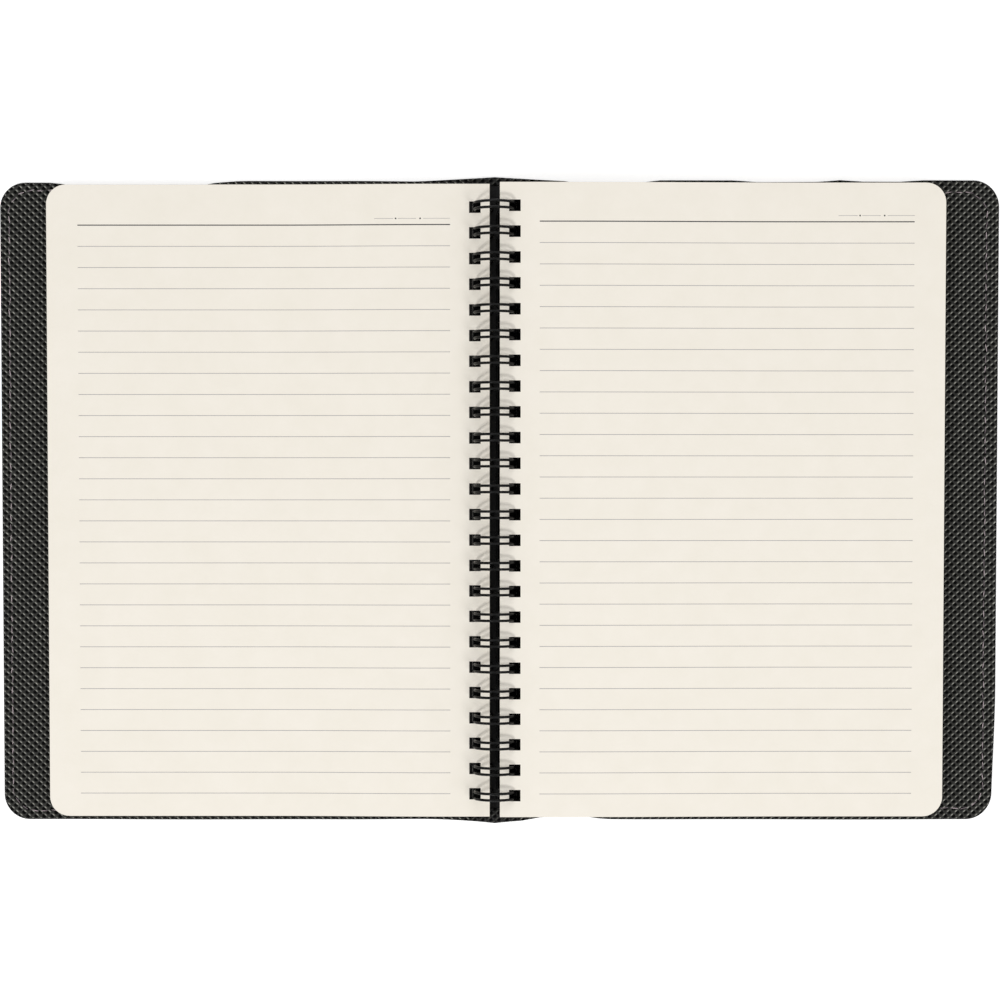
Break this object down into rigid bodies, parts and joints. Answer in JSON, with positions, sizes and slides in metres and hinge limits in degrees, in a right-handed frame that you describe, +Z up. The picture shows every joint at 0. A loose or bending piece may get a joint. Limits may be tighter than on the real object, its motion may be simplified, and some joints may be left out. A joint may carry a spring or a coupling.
{
  "type": "open wire-bound notebook in a leatherette jacket",
  "caption": "A5 notebook lying open: two stacks of ruled leaves on a twin-loop wire, in a sewn leatherette jacket whose two covers fold up from the spine.",
  "frame": {"origin": "on the surface the notebook lies on, under the middle of the spine", "axes": "+X towards the right-hand page, +Y towards the head of the pages, +Z up"},
  "size_m": [0.332, 0.216, 0.016],
  "materials": {
    "skin": "black woven-grain leatherette, semi-matt",
    "panel": "charcoal woven-grain leatherette, soft sheen",
    "lining": "smooth near-black lining",
    "coated_wire": "black glossy coated steel wire",
    "card": "dark matt card",
    "pages": "cream ruled writing paper"
  },
  "bodies": {
    "spine": {"spine_skin": "skin", "spine_lining": "lining", "twin_loop_wire": "coated_wire"},
    "front_cover": {"front_skin": "skin", "front_inner_panel": "panel"},
    "front_leaves": {"front_card": "card", "front_pages": "pages"},
    "back_cover": {"back_skin": "skin", "back_inner_panel": "panel"},
    "back_leaves": {"back_card": "card", "back_pages": "pages"}
  },
  "joints": [
    {"name": "front_cover_crease", "type": "hinge", "parent": "spine", "child": "front_cover", "pos_m": [-0.008, 0, 0.00185], "axis": [0, 1, 0], "range_deg": [0, 90]},
    {"name": "front_leaves_turn", "type": "hinge", "parent": "spine", "child": "front_leaves", "pos_m": [0, 0, 0.00885], "axis": [0, 1, 0], "range_deg": [0, 90]},
    {"name": "back_cover_crease", "type": "hinge", "parent": "spine", "child": "back_cover", "pos_m": [0.008, 0, 0.00185], "axis": [0, -1, 0], "range_deg": [0, 90]},
    {"name": "back_leaves_turn", "type": "hinge", "parent": "spine", "child": "back_leaves", "pos_m": [0, 0, 0.00885], "axis": [0, -1, 0], "range_deg": [0, 90]}
  ],
  "couplings": [
    {"joint": "front_leaves_turn", "follows": "front_cover_crease", "ratio": 1},
    {"joint": "back_leaves_turn", "follows": "back_cover_crease", "ratio": 1}
  ]
}
